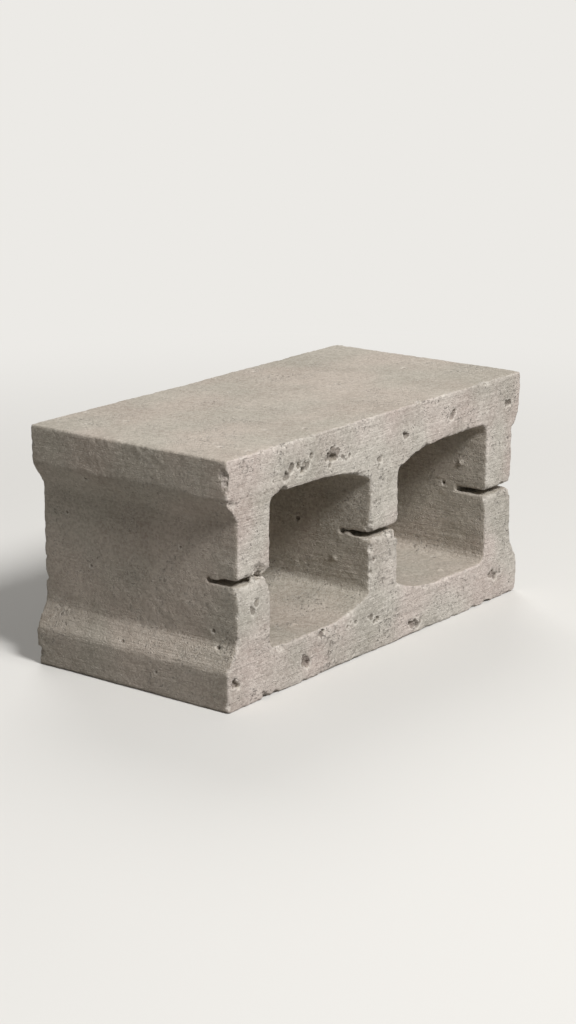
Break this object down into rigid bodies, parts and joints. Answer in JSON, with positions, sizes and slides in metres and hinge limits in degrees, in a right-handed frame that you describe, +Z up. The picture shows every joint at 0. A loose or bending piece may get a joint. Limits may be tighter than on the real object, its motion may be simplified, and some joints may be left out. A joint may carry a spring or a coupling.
{
  "type": "hollow concrete block",
  "caption": "Hollow concrete masonry block with tapered through cores, shoulders at the centre web, recessed ends and core-bar slots, lying on a face shell.",
  "frame": {"origin": "middle of the face shell that the block lies on, on the floor", "axes": "+X along the block's length, -Y out of the slotted bed face along the cores, +Z up, out of the upper face shell"},
  "size_m": [0.39, 0.19, 0.19],
  "materials": {
    "concrete": "matte cast concrete, fine grained, with open pits and worn arrises"
  },
  "bodies": {
    "root": {"concrete_block": "concrete"}
  },
  "joints": []
}
